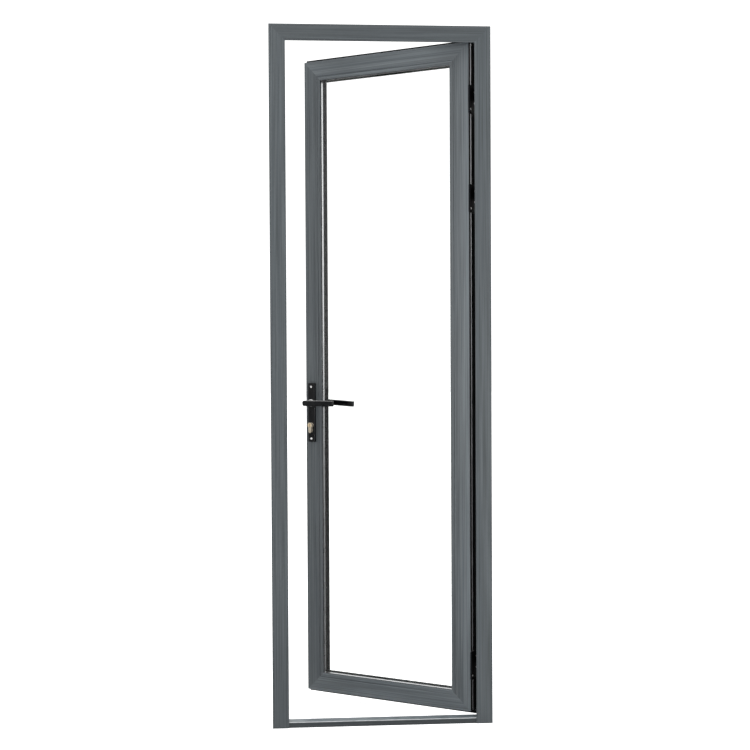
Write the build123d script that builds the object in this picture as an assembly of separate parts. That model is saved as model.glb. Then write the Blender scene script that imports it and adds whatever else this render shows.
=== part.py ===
from build123d import *
import math
import os

os.makedirs("parts", exist_ok=True)

# Single-leaf glazed door in extruded aluminium, opening outwards, with its own frame.
# Millimetres, +Z up, +X towards the hinge side, +Y towards the outside (the side the leaf opens to).
# The origin lies on the floor, under the middle of the frame.

# ---------------------------------------------------------------- driving dimensions
W, H = 664.0, 2100.0          # frame, outside
D = 42.0                      # frame depth
BOX = 33.0                    # width of the frame's hollow box
FACE = 49.0                   # width of the frame's face: box and stop fin
FIN = 2.0                     # thickness of the stop fin
WALL = 2.0                    # extrusion wall

OVER = 8.0                    # how far the leaf reaches behind the stop fin
YN = 5.0                      # inside face of the closed leaf, behind the inside face of the frame
LW = W - 2 * (FACE - OVER)    # leaf width, 582
ZT = H - FACE + OVER          # leaf top edge, 2059
ZB = 29.0                     # leaf bottom edge
LD = 44.0                     # leaf depth
LIP = 14.0                    # outside lip of the leaf, which laps the frame
LIP_T = 2.2
STILE = 50.5                  # leaf face, from its edge to the glazing bead, in the basic profile
SIGHT = 63.0                  # leaf edge to the glass sightline, in the basic profile
GROOVE = 0.9                  # shadow gap between leaf member and glazing bead
REBATE = 26.0                 # depth of the glazing rebate's back, behind the leaf's inside face
PANE, SPACER = 5.0, 9.0       # glass unit: two panes and the space between them
T_GLASS = 3.0                 # the unit's inside face
WIDER = {"left": -3.4, "right": 2.0, "top": -1.0, "bottom": -4.0}   # each member's face against the basic profile
OPEN = 32.8                   # opening angle of the leaf as drawn

PX, PY = 646.0, 51.0          # hinge axis, from the frame's lower lock-side inside corner
H_LEN = 84.0                  # length of a hinge
HINGES = {"upper": 1845.5, "middle": 1546.5, "lower": 127.5}   # foot of each hinge
BARREL_R, PIN_R, RUN = 7.0, 4.0, 0.05

SILL_H, SILL_Y0, SILL_Y1 = 17.0, 4.0, 40.0

US, ZS = 24.5, 962.0          # spindle axis, from the leaf's lock-side edge, and above the floor
ZC = ZS - 72.0                # key cylinder axis
PLATE_W, PLATE_Z0, PLATE_Z1, PLATE_T = 24.0, 836.0, 1026.0, 10.0
ZSCREW = (846.5, 1013.5)      # through screws of the backplates
LEVER_TIP, LEVER_H, LEVER_T, NECK = 127.3, 18.0, 12.0, 30.0
DROOP = 3.4                   # how far the outside lever hangs below level, in degrees
COLLAR_R, COLLAR_T = 11.3, 4.0
TC = 20.0                     # middle of the lock, behind the leaf's inside face
LATCH_OUT, BOLT_OUT = 11.0, 20.0

JAMB_FIX_LOCK = (250.0, 750.0, 1250.0, 1750.0)
JAMB_FIX_HINGE = (300.0, 800.0, 1300.0, 1800.0)
HEAD_FIX = (182.0, 482.0)
FIX_R = 4.0

# ---------------------------------------------------------------- helpers
ORIGIN = Pos(-W / 2, -D / 2, 0)
LEAF = ORIGIN * Pos(PX, PY, 0) * Rot(0, 0, -OPEN) * Pos(-PX, -PY, 0) * Pos(FACE - OVER, YN, 0)


def section(points, to3d):
    """A flat face from (a, b) or (a, b, corner radius) points."""
    n = len(points)
    corners = []
    for i, p in enumerate(points):
        c = Vector(p[0], p[1], 0)
        if len(p) > 2:
            before, after = points[i - 1], points[(i + 1) % n]
            d1 = (Vector(before[0], before[1], 0) - c).normalized()
            d2 = (Vector(after[0], after[1], 0) - c).normalized()
            half = math.acos(d1.dot(d2)) / 2
            back = p[2] / math.tan(half)
            mid = c + (d1 + d2).normalized() * (p[2] / math.sin(half) - p[2])
            corners.append((c + d1 * back, mid, c + d2 * back))
        else:
            corners.append((c, None, c))
    edges = []
    for i, (start, mid, end) in enumerate(corners):
        if mid is not None:
            edges.append(ThreePointArc(to3d(start), to3d(mid), to3d(end)))
        nxt = corners[(i + 1) % n][0]
        if (nxt - end).length > 1e-6:
            edges.append(Line(to3d(end), to3d(nxt)))
    return make_face(edges)


def upright(points, holes, x0, sx, y0, z0, z1):
    """Vertical extrusion: a runs from x0 along sx, b is depth from y0."""
    def to3d(v):
        return (x0 + sx * v.X, y0 + v.Y, z0)
    face = section(points, to3d)
    for h in holes:
        face = face - section(h, to3d)
    return extrude(face, amount=z1 - z0, dir=(0, 0, 1))


def level(points, holes, z0, sz, y0, x0, x1):
    """Horizontal extrusion along X: a runs from z0 along sz, b is depth from y0."""
    def to3d(v):
        return (x0, y0 + v.Y, z0 + sz * v.X)
    face = section(points, to3d)
    for h in holes:
        face = face - section(h, to3d)
    return extrude(face, amount=x1 - x0, dir=(1, 0, 0))


def slab(points, y0=-80.0, y1=150.0):
    """Prism through the depth, from (x, z) points: what a mitred piece is cut to."""
    return extrude(make_face(Polyline(*[(x, y0, z) for x, z in points], close=True)), amount=y1 - y0, dir=(0, 1, 0))


def box(x0, x1, y0, y1, z0, z1):
    return Pos((x0 + x1) / 2, (y0 + y1) / 2, (z0 + z1) / 2) * Box(x1 - x0, y1 - y0, z1 - z0)


def rod_z(x, y, r, z0, z1):
    return Pos(x, y, (z0 + z1) / 2) * Cylinder(r, z1 - z0)


def rod_y(x, z, r, y0, y1):
    return Pos(x, (y0 + y1) / 2, z) * Rot(90, 0, 0) * Cylinder(r, y1 - y0)


def rod_x(y, z, r, x0, x1):
    return Pos((x0 + x1) / 2, y, z) * Rot(0, 90, 0) * Cylinder(r, x1 - x0)


def cone_y(x, z, r0, r1, y0, y1):
    """Radius r0 at y0, r1 at y1, with y1 over y0."""
    return Pos(x, (y0 + y1) / 2, z) * Rot(-90, 0, 0) * Cone(r0, r1, y1 - y0)


def cone_x(y, z, r0, r1, x0, x1):
    """Radius r0 at x0, r1 at x1, with x1 over x0."""
    return Pos((x0 + x1) / 2, y, z) * Rot(0, 90, 0) * Cone(r0, r1, x1 - x0)


def inset(a, t0, t1, w=WIDER):
    """Plate over the leaf's whole opening, a in from its edges, or from the basic profile's where w shifts it."""
    return box(a + w["left"], LW - a - w["right"], t0, t1, ZB + a + w["bottom"], ZT - a - w["top"])


def loop(a0, a1, t0, t1):
    """Rectangular loop at the glazing, a0 to a1 in the basic profile's terms."""
    return inset(a0, t0, t1) - inset(a1, t0 - 1, t1 + 1)


SAME = {"left": 0.0, "right": 0.0, "top": 0.0, "bottom": 0.0}


def ring(a0, a1, t0, t1):
    """Rectangular loop round the leaf, a0 to a1 in from its edges, at depth t0 to t1."""
    return inset(a0, t0, t1, SAME) - inset(a1, t0 - 1, t1 + 1, SAME)


def put(name, shape, where):
    """One file a piece: its solids, each placed on its own."""
    solids = [where * s for one in (shape if isinstance(shape, list) else [shape]) for s in one.solids()]
    export_step(Compound(solids) if len(solids) > 1 else solids[0], f"parts/{name}.step")


# ---------------------------------------------------------------- frame
# Box with a stop fin on the inside, and a two-ribbed seat for the stop gasket behind the fin's tip.
FRAME_OUT = [(0, 0, 1.0), (FACE, 0, 1.0), (FACE, 3.6), (47.8, 3.6), (47.8, FIN), (43.2, FIN), (43.2, 3.6), (42, 3.6),
             (42, FIN), (BOX, FIN), (BOX, D, 1.0), (0, D, 1.0)]
FRAME_IN = [(WALL, WALL), (BOX - WALL, WALL), (BOX - WALL, D - WALL), (WALL, D - WALL)]
GASKET_IN = [(43.3, 2.05), (47.7, 2.05), (47.7, 4.0), (46.6, 4.7), (44.4, 4.7), (43.3, 4.0)]

mitre_left = slab([(-5, -5), (FACE + 5, -5), (FACE + 5, H - FACE - 5), (-5, H + 5)])
mitre_right = slab([(W + 5, -5), (W - FACE - 5, -5), (W - FACE - 5, H - FACE - 5), (W + 5, H + 5)])
mitre_head = slab([(0, H), (W, H), (W - FACE - 5, H - FACE - 5), (FACE + 5, H - FACE - 5)])

jamb_left = upright(FRAME_OUT, [FRAME_IN], 0, 1, 0, 0, H) & mitre_left
jamb_right = upright(FRAME_OUT, [FRAME_IN], W, -1, 0, 0, H) & mitre_right
head = level(FRAME_OUT, [FRAME_IN], H, -1, 0, 0, W) & mitre_head

for z in JAMB_FIX_LOCK:
    jamb_left -= rod_x(D / 2, z, FIX_R, -1, BOX + 1)
for z in JAMB_FIX_HINGE:
    jamb_right -= rod_x(D / 2, z, FIX_R, W - BOX - 1, W + 1)
for x in HEAD_FIX:
    head -= rod_z(x, D / 2, FIX_R, H - BOX - 1, H + 1)

# Latch and bolt mouths in the lock-side jamb, behind the strike plate.
LATCH_Z = (978.0, 996.0)
BOLT_Z = (906.5, 932.0)
YL0, YL1 = YN + TC - 5.0, YN + TC + 5.0
for z0, z1 in (LATCH_Z, BOLT_Z):
    jamb_left -= box(BOX - WALL - 1, BOX + 1, YL0 - 2.5, YL1 + 2.5, z0 - 2.5, z1 + 2.5)
strike = box(BOX, BOX + 2, YN + TC - 14, YN + TC + 14, 882, 1022)
strike = fillet(strike.edges().filter_by(Axis.X), 4)
for z0, z1 in (LATCH_Z, BOLT_Z):
    strike -= box(BOX - 1, BOX + 3, YL0 - 1.5, YL1 + 1.5, z0 - 1.5, z1 + 1.5)
strike_screws = []
for z in (891.0, 1013.0):
    screw = rod_x(YN + TC, z, 2.0, BOX - 12, BOX + 1) + cone_x(YN + TC, z, 2.0, 4.0, BOX, BOX + 2)
    strike_screws.append(screw)
    strike -= rod_x(YN + TC, z, 2.1, BOX - 1, BOX + 3) + cone_x(YN + TC, z, 2.1, 4.1, BOX, BOX + 2)
    jamb_left -= rod_x(YN + TC, z, 2.1, BOX - 13, BOX + 1)

# Low threshold between the jambs, with two screw ports along it.
SILL = [(0, SILL_Y0), (SILL_H, SILL_Y0, 1.5), (SILL_H, SILL_Y1, 1.0), (0, SILL_Y1)]
SILL_IN = [(WALL, SILL_Y0 + WALL), (SILL_H - WALL, SILL_Y0 + WALL), (SILL_H - WALL, SILL_Y1 - WALL), (WALL, SILL_Y1 - WALL)]
threshold = level(SILL, [SILL_IN], 0, 1, 0, BOX, W - BOX)
PORTS = [(SILL_Y0 + 6.5, 6.5), (SILL_Y1 - 6.5, 6.5)]
for y, z in PORTS:
    threshold += rod_x(y, z, 4.6, BOX, W - BOX) & box(BOX, W - BOX, SILL_Y0 + 0.5, SILL_Y1 - 0.5, 0.5, SILL_H - 0.5)
for y, z in PORTS:
    threshold -= rod_x(y, z, 2.1, BOX - 1, W - BOX + 1)
sill_screws = []
for y, z in PORTS:
    sill_screws.append(rod_x(y, z, 2.0, BOX - WALL - 0.5, BOX + 24) + rod_x(y, z, 4.0, BOX - WALL - 2.4, BOX - WALL))
    sill_screws.append(rod_x(y, z, 2.0, W - BOX - 24, W - BOX + WALL + 0.5) + rod_x(y, z, 4.0, W - BOX + WALL, W - BOX + WALL + 2.4))
    jamb_left -= rod_x(y, z, 2.1, BOX - WALL - 1, BOX + 1)
    jamb_right -= rod_x(y, z, 2.1, W - BOX - 1, W - BOX + WALL + 1)

# One stop gasket round three sides, mitred at the head.
gasket_l = upright(GASKET_IN, [], 0, 1, 0, SILL_H + 0.5, H) & mitre_left
gasket_r = upright(GASKET_IN, [], W, -1, 0, SILL_H + 0.5, H) & mitre_right
gasket_h = level(GASKET_IN, [], H, -1, 0, 0, W) & mitre_head
stop_gasket = gasket_l + gasket_h + gasket_r

# Corner cleats pressed into the box: an L with a lightening hole in each leg.
def cleat(x, z, sx, sz, a0, a1, b1, t0, t1, leg, hole0, hole1):
    """The members' outer corner is at x, z, and they run from it along sx and sz. The upright leg ends at a1, the level one at b1."""
    plan = [(a0, a0), (a0 + leg, a0), (a0 + leg, b1), (a1, b1), (a1, a0 + leg), (a0, a0 + leg)]
    if sx * sz < 0:
        plan = plan[::-1]
    body = slab([(x + sx * a, z + sz * b) for a, b in plan], t0, t1)
    p, q, far = sorted((x + sx * hole0, x + sx * hole1)), sorted((z + sz * hole0, z + sz * hole1)), max(a1, b1) + 4
    body -= box(p[0], p[1], t0 + 6, t1 - 6, *sorted((z - sz * 2, z + sz * far)))
    body -= box(*sorted((x - sx * 2, x + sx * far)), t0 + 6, t1 - 6, q[0], q[1])
    return body


frame_cleats = [cleat(x, H, sx, -1, 3.0, BOX - 3.0, BOX - 3.0, 3.0, D - 3.0, 85.0, 45.0, 80.0) for x, sx in ((0, 1), (W, -1))]

# ---------------------------------------------------------------- leaf, in its own closed coordinates
# u from the lock-side edge, t behind the inside face, z above the floor.
# Basic profile: face, rebate, glazing nose, outside lip, seat of the edge seal, hardware groove, seat of the inner seal.
NOSE = SIGHT - 1.5
LEAF_OUT = [(0, 0, 1.2), (STILE, 0, 0.6), (STILE, REBATE), (NOSE, REBATE), (NOSE, LD, 1.0), (-LIP, LD, 1.0),
            (-LIP, LD - LIP_T), (0, LD - LIP_T), (0, 41.4), (1.8, 41.4), (1.8, 30.6), (0, 30.6), (0, 26), (2.5, 26), (2.5, 29),
            (8.5, 29), (8.5, 11), (2.5, 11), (2.5, 14), (0, 14), (0, 8), (5, 8), (5, 2.2), (0, 2.2)]
LEAF_MAIN = [(7, WALL), (STILE - WALL, WALL), (STILE - WALL, LD - WALL), (3.8, LD - WALL), (3.8, 31), (10.5, 31), (10.5, 9), (7, 9)]
LEAF_NOSE = [(STILE, REBATE + WALL), (NOSE - WALL, REBATE + WALL), (NOSE - WALL, LD - WALL), (STILE, LD - WALL)]
BEAD = [(STILE + GROOVE, 0, 0.3), (SIGHT, 0, 0.8), (SIGHT, 2.0), (61.4, 2.0), (61.4, 1.6), (52.4, 1.6), (52.4, 9.5), (STILE, 9.5),
        (STILE, 3.4), (STILE + GROOVE, 2.5)]


def mitre(a0, a1, side):
    """The mitred outline of one member between a0 and a1 in from the leaf's edges, in the basic profile's terms."""
    def at(a, sides):
        w = WIDER if a > 40 else SAME
        x = a + w["left"] if sides[0] == "left" else LW - a - w["right"]
        z = ZT - a - w["top"] if sides[1] == "top" else ZB + a + w["bottom"]
        return x, z
    ends = {"left": (("left", "bottom"), ("left", "top")), "right": (("right", "bottom"), ("right", "top")),
            "top": (("left", "top"), ("right", "top")), "bottom": (("left", "bottom"), ("right", "bottom"))}[side]
    return slab([at(a0, ends[0]), at(a1, ends[0]), at(a1, ends[1]), at(a0, ends[1])])


def four(points, holes, a0, a1):
    """The four mitred members of one profile: lock side, hinge side, top, bottom."""
    def wide(profile, side):
        return [(p[0] + (WIDER[side] if p[0] > 40 else 0), *p[1:]) for p in profile]
    made = []
    for side in ("left", "right", "top", "bottom"):
        out, inner = wide(points, side), [wide(h, side) for h in holes]
        if side in ("left", "right"):
            body = upright(out, inner, 0 if side == "left" else LW, 1 if side == "left" else -1, 0, ZB - LIP, ZT + LIP)
        else:
            body = level(out, inner, ZT if side == "top" else ZB, -1 if side == "top" else 1, 0, -LIP, LW + LIP)
        made.append(body & mitre(a0, a1, side))
    return made


stile_lock, stile_hinge, rail_top, rail_bottom = four(LEAF_OUT, [LEAF_MAIN, LEAF_NOSE], -LIP, NOSE)
bead_lock, bead_hinge, bead_top, bead_bottom = four(BEAD, [], STILE, SIGHT)

# The lip is cut away where the hinges pass.
UP, TP = PX - (FACE - OVER), PY - YN          # hinge axis in leaf coordinates
lip_gasket = ring(-13.9, -9, 37.5, LD - LIP_T - 0.02)
edge_gasket = ring(-0.8, 1.75, 30.7, 41.3) & box(-5, LW + 5, 25, 45, ZB + 6, ZT + 5)
inner_gasket = ring(0.6, 4.9, 2.3, 7.9)
edge_trim = box(LW + 0.02, LW + 0.8, 8.4, 13.8, ZB + 4, ZT - 4)
for z in HINGES.values():
    stile_hinge -= box(LW, LW + LIP + 1, 30, LD + 1, z - 1.5, z + H_LEN + 1.5)
    lip_gasket -= box(LW, LW + LIP + 1, 30, LD + 1, z - 1.5, z + H_LEN + 1.5)
    edge_gasket -= box(LW - 5, LW + LIP + 1, 25, LD + 1, z - 0.5, z + H_LEN + 0.5)
    inner_gasket -= box(LW - 6, LW + 1, 1, 9, z - 0.5, z + H_LEN + 0.5)
    edge_trim -= box(LW - 1, LW + 2, 7, 15, z - 0.5, z + H_LEN + 0.5)

# Double-glazed unit: two 5 mm panes on a 9 mm spacer, sealed round its edge. The outer gasket wraps round the nose.
GE = 54.0
T1, T2, T3 = T_GLASS + PANE, T_GLASS + PANE + SPACER, T_GLASS + 2 * PANE + SPACER
pane_in = inset(GE, T_GLASS, T1)
pane_out = inset(GE, T2, T3)
spacer = loop(56.0, 63.4, T1, T2)
edge_seal = loop(GE, 56.0, T1, T2)
gasket_in = loop(57.0, 61.3, 1.7, 3.0) + loop(61.0, 63.3, 2.1, 3.0)
gasket_out = loop(57.0, 63.8, T3, REBATE) + loop(NOSE + 0.02, 63.8, REBATE - 0.1, LD - 0.4)
blocks = []
for u in (120.0, LW - 200.0):
    blocks.append(box(u, u + 80, 10.5, T3, ZB + STILE + WIDER["bottom"], ZB + GE + WIDER["bottom"]))
    blocks.append(box(u, u + 80, 10.5, T3, ZT - GE - WIDER["top"], ZT - STILE - WIDER["top"]))
for z in (260.0, 1740.0):
    blocks.append(box(STILE + WIDER["left"], GE + WIDER["left"], 10.5, T3, z, z + 80))
    blocks.append(box(LW - GE - WIDER["right"], LW - STILE - WIDER["right"], 10.5, T3, z, z + 80))

# Leaf corner cleats in the main chamber.
leaf_cleats = [cleat(x, z, sx, sz, 11.5, STILE - 3.0 + WIDER[one], STILE - 3.0 + WIDER[other], 3.0, LD - 3.0, 62.0, 52.0, 69.0)
               for x, sx, one in ((0, 1, "left"), (LW, -1, "right")) for z, sz, other in ((ZT, -1, "top"), (ZB, 1, "bottom"))]

# Brush seal under the bottom rail, over the threshold's outer edge: carrier in the edge seal's seat, and bristles.
brush_carrier = box(3, LW - 3, 30.8, 38.0, ZB - 2.5, ZB + 1.7)
brush = box(4, LW - 4, 31.2, 35.0, ZB - 11.3, ZB - 2.5)

# ---------------------------------------------------------------- lock
def euro(r, half, bottom_r, z, drop, y0, y1):
    """Key cylinder section: a round head on a leg, drop below the head's axis to the leg's end radius."""
    return rod_y(US, z, r, y0, y1) + box(US - half, US + half, y0, y1, z - drop, z) + rod_y(US, z - drop, bottom_r, y0, y1)

DROP = 19.5
CASE = (0.0, 41.0, TC - 7, TC + 7, 853.0, 1008.0)
stile_lock -= box(-3, 42.5, TC - 7.5, TC + 7.5, 852, 1009)
stile_lock -= rod_y(US, ZS, 10.0, -1, LD + 1)
stile_lock -= euro(9.0, 5.6, 5.6, ZC, DROP, -1, LD + 1)
for z in ZSCREW:
    stile_lock -= rod_y(US, z, 3.0, -1, LD + 1)

case = box(*CASE) - box(1.5, 39.5, TC - 5.5, TC + 5.5, 854.5, 1006.5)
case -= rod_y(US, ZS, 7.08, TC - 8, TC + 8)
case -= euro(8.7, 5.3, 5.3, ZC, DROP, TC - 8, TC + 8)
for z0, z1 in (LATCH_Z, BOLT_Z):
    case -= box(-1, 2, TC - 5.2, TC + 5.2, z0 - 0.3, z1 + 0.3)
case -= rod_x(TC, ZC - DROP, 2.6, -1, 2)

face_plate = box(-2.5, 0, TC - 10, TC + 10, 800, 1045)
face_plate = fillet(face_plate.edges().filter_by(Axis.X), 3)
for z0, z1 in (LATCH_Z, BOLT_Z):
    face_plate -= box(-3, 1, TC - 5.2, TC + 5.2, z0 - 0.3, z1 + 0.3)
face_screws = []
for z, r, deep in ((812.0, 2.0, 8.0), (1033.0, 2.0, 8.0)):
    cutter = rod_x(TC, z, r + 0.1, -3, 1) + cone_x(TC, z, 4.1, 2.1, -2.5, -0.5)
    face_plate -= cutter
    face_screws.append(cone_x(TC, z, 4.0, 2.0, -2.5, -0.5) + rod_x(TC, z, r, -1, deep))
face_plate -= rod_x(TC, ZC - DROP, 2.6, -3, 1) + cone_x(TC, ZC - DROP, 4.5, 2.6, -2.5, -0.5)
cylinder_screw = cone_x(TC, ZC - DROP, 4.4, 2.5, -2.5, -0.5) + rod_x(TC, ZC - DROP, 2.4, -1, US - 0.5)

# Latch: bevelled on the side that meets the strike as the leaf closes; its tail is drawn back by the follower's arm.
latch = extrude(make_face(Polyline((-2.5, TC - 5, LATCH_Z[0]), (-2.5 - LATCH_OUT, TC + 2, LATCH_Z[0]), (-2.5 - LATCH_OUT, TC + 5, LATCH_Z[0]),
                                   (18, TC + 5, LATCH_Z[0]), (18, TC - 5, LATCH_Z[0]), close=True)), amount=LATCH_Z[1] - LATCH_Z[0], dir=(0, 0, 1))
latch += box(17, 28.3, TC - 2, TC + 2, 984, 990) + box(26.2, 28.3, TC - 2, TC + 2, 972.5, 990)
bolt = box(-2.5, 28, TC - 5, TC + 5, *BOLT_Z)
bolt -= box(10, 18, TC - 6, TC + 6, BOLT_Z[0] - 1, BOLT_Z[0] + 5)

follower = rod_y(US, ZS, 9.0, TC - 5.3, TC + 5.3) + rod_y(US, ZS, 7.0, TC - 7, TC + 7)
follower += box(US - 1.5, US + 1.0, TC - 4, TC + 4, ZS, ZS + 15)
follower -= box(US - 4, US + 4, TC - 8, TC + 8, ZS - 4, ZS + 4)
spindle = box(US - 3.95, US + 3.95, -44, LD + 44, ZS - 3.95, ZS + 3.95)

CY0, CY1 = -20.0, LD + 20.0
cylinder = euro(8.5, 5.0, 5.0, ZC, DROP, CY0, CY1)
cylinder -= rod_y(US, ZC, 6.5 + RUN, CY0 - 1, CY1 + 1)
cylinder -= box(US - 10, US + 10, TC - 5, TC + 5, ZC - 15, ZC + 10)
cylinder -= rod_x(TC, ZC - DROP, 2.5, 0, US)
plug_in = rod_y(US, ZC, 6.5, CY0, TC - 4.7) - box(US - 0.8, US + 0.8, CY0 - 1, CY0 + 26, ZC - 5, ZC + 4)
plug_out = rod_y(US, ZC, 6.5, TC + 4.7, CY1) - box(US - 0.8, US + 0.8, CY1 - 26, CY1 + 1, ZC - 5, ZC + 4)
cam = rod_y(US, ZC, 7.5, TC - 4.7, TC + 4.7) + box(US - 3.5, US + 3.5, TC - 4.7, TC + 4.7, ZC - 14, ZC)

# ---------------------------------------------------------------- handle set
def backplate(front, back):
    """front is the visible face's depth, back the face against the leaf."""
    y0, y1 = min(front, back), max(front, back)
    p = box(US - PLATE_W / 2, US + PLATE_W / 2, y0, y1, PLATE_Z0, PLATE_Z1)
    p = fillet(p.edges().filter_by(Axis.Y), 2.0)
    rim = p.faces().sort_by(Axis.Y)[0 if front < back else -1].edges()
    p = fillet(rim, 1.5)
    p -= rod_y(US, ZS, 9.0, y0 - 1, y1 + 1)
    p -= euro(8.7, 5.3, 5.3, ZC, DROP, y0 - 1, y1 + 1)
    return p

plate_in = backplate(-PLATE_T, 0.0)
plate_out = backplate(LD + PLATE_T, LD)
through_screws = []
for z in ZSCREW:
    screw = cone_y(US, z, 3.6, 2.0, -PLATE_T, -PLATE_T + 2.0) + rod_y(US, z, 2.0, -PLATE_T + 1.5, LD + 6)
    screw -= box(US - 2.6, US + 2.6, -PLATE_T - 1, -PLATE_T + 0.8, z - 0.5, z + 0.5)
    through_screws.append(screw)
    plate_in -= cone_y(US, z, 3.7, 2.1, -PLATE_T, -PLATE_T + 2.0) + rod_y(US, z, 2.1, -PLATE_T - 1, 1)
    plate_out -= rod_y(US, z, 2.1, LD - 1, LD + 6.2)


def lever(sign, face, droop=0.0):
    """A straight flat lever on a round neck. face is the backplate's visible face; sign points away from the leaf."""
    y_neck, y_bar = face, face + sign * NECK
    a0, a1 = sorted((face - sign * 9.5, y_bar + sign * 1.0))
    neck = rod_y(US, ZS, 8.93, a0, a1)
    b0, b1 = sorted((y_bar, y_bar + sign * LEVER_T))
    bar = box(US - 9.0, LEVER_TIP, b0, b1, ZS - LEVER_H / 2, ZS + LEVER_H / 2)
    ends = bar.edges().filter_by(Axis.Y).sort_by(Axis.X)
    bar = fillet(ends[:2], 7.0)
    bar = fillet(bar.edges().filter_by(Axis.Y).sort_by(Axis.X)[-2:], 2.0)
    outer = bar.faces().sort_by(Axis.Y)[0 if sign < 0 else -1].edges()
    bar = fillet(outer, 2.5)
    inner = bar.faces().sort_by(Axis.Y)[-1 if sign < 0 else 0].edges()
    bar = fillet(inner, 2.0)
    bar = Pos(US, 0, ZS) * Rot(0, droop, 0) * Pos(-US, 0, -ZS) * bar
    piece = bar + neck
    s0, s1 = sorted((face - sign * 11, y_neck + sign * (NECK + 5)))
    piece -= box(US - 4, US + 4, s0, s1, ZS - 4, ZS + 4)
    g = face + sign * 12
    piece -= rod_z(US, g, 2.0, ZS - 9.5, ZS - 3.9)
    grub = rod_z(US, g, 1.95, ZS - 8.0, ZS - 3.98) - box(US - 1.6, US + 1.6, g - 0.4, g + 0.4, ZS - 8.5, ZS - 7.0)
    return piece, grub

lever_in, grub_in = lever(-1, -PLATE_T)
lever_out, grub_out = lever(1, LD + PLATE_T, DROOP)

# A bright collar on each backplate, round the lever's neck.
collars = []
for y0, y1 in ((-PLATE_T - COLLAR_T, -PLATE_T), (LD + PLATE_T, LD + PLATE_T + COLLAR_T)):
    ring_y = rod_y(US, ZS, COLLAR_R, y0, y1)
    front = ring_y.faces().sort_by(Axis.Y)[0 if y0 < 0 else -1].edges()
    collars.append(fillet(front, 1.2) - rod_y(US, ZS, 9.1, y0 - 1, y1 + 1))

# ---------------------------------------------------------------- hinges
# Each half has a leg in the gap between leaf and frame, held to its member by two screws, and a barrel outside.
# The frame half carries the pin; the leaf half drops on to it.
hinge_frame, hinge_leaf, pins, frame_half_screws, leaf_half_screws = {}, {}, [], [], []
LEG_F, LEG_L = 2.7, 3.5
for name, z in HINGES.items():
    zm = z + H_LEN / 2
    half = box(W - BOX - LEG_F, W - BOX, 6, D + 2.5, z, z + H_LEN)
    half -= box(W - BOX - LEG_F - 1, W - BOX + 1, D - 0.5, D + 3, zm - 0.25, z + H_LEN + 1)
    half += box(W - BOX - LEG_F, 661, D, D + 2.5, z, zm - 0.25)
    half += rod_z(PX, PY, BARREL_R, z, zm - 0.25) + box(PX - 5, PX + 5, D + 1, PY, z, zm - 0.25)
    half -= rod_z(PX, PY, PIN_R, z + 3, z + H_LEN)
    # screws into the box wall and into the frame's outside face
    for y, zz in ((16.0, z + 14), (16.0, z + 70), (32.0, z + 52)):
        half -= rod_x(y, zz, 2.1, W - BOX - LEG_F - 1, W - BOX + 1) + cone_x(y, zz, 3.9, 2.1, W - BOX - LEG_F, W - BOX - LEG_F + 1.8)
        frame_half_screws.append(cone_x(y, zz, 3.8, 2.0, W - BOX - LEG_F, W - BOX - LEG_F + 1.8)
                                 + rod_x(y, zz, 2.0, W - BOX - LEG_F + 1, W - BOX + 10))
        jamb_right -= rod_x(y, zz, 2.1, W - BOX - 1, W - BOX + WALL + 1)
    for zz in (z + 9, z + 32):
        half -= rod_y(657, zz, 1.7, D - 1, D + 3) + cone_y(657, zz, 1.7, 3.1, D + 1.1, D + 2.5)
        frame_half_screws.append(cone_y(657, zz, 1.6, 3.0, D + 1.1, D + 2.5) + rod_y(657, zz, 1.6, D - 9, D + 2))
        jamb_right -= rod_y(657, zz, 1.7, D - WALL - 1, D + 1)
    hinge_frame[name] = half
    pins.append(rod_z(PX, PY, PIN_R, z + 3, z + H_LEN - 3))
    # leaf half, in leaf coordinates
    leg = box(LW, LW + LEG_L, -1.2, LD + 0.5, z, z + H_LEN)
    leg += box(LW - 1.8, LW + LEG_L, -1.2, 0, z, z + H_LEN)
    leg -= box(LW - 1, LW + LEG_L + 1, LD - 3.0, LD + 2, z - 1, zm + 0.25)
    leg += box(LW, UP, LD - 3.0, LD + 0.5, zm + 0.25, z + H_LEN)
    leg += rod_z(UP, TP, BARREL_R, zm + 0.25, z + H_LEN)
    leg -= rod_z(UP, TP, PIN_R + RUN, zm - 1, z + H_LEN - 2.5)
    for t, zz in ((33.5, z + 66.5), (33.5, z + 33.0), (5.5, z + 12.0)):
        cut = rod_x(t, zz, 2.1, LW - 1, LW + LEG_L + 1) + cone_x(t, zz, 2.1, 4.0, LW + LEG_L - 1.9, LW + LEG_L)
        leg -= cut
        if t > 8:
            leaf_half_screws.append(cone_x(t, zz, 2.0, 3.9, LW + LEG_L - 1.9, LW + LEG_L) + rod_x(t, zz, 2.0, LW - 9, LW + LEG_L - 1))
            stile_hinge -= rod_x(t, zz, 2.1, LW - 5, LW + 1)
        else:
            leaf_half_screws.append(cone_x(t, zz, 2.0, 3.9, LW + LEG_L - 1.9, LW + LEG_L) + rod_x(t, zz, 2.0, LW - 4.9, LW + LEG_L - 1))
    hinge_leaf[name] = leg

# The seals stop where the unequal members' mitres leave them no seat.
for member in (stile_lock, stile_hinge, rail_top, rail_bottom):
    edge_gasket -= member
    inner_gasket -= member

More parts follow.
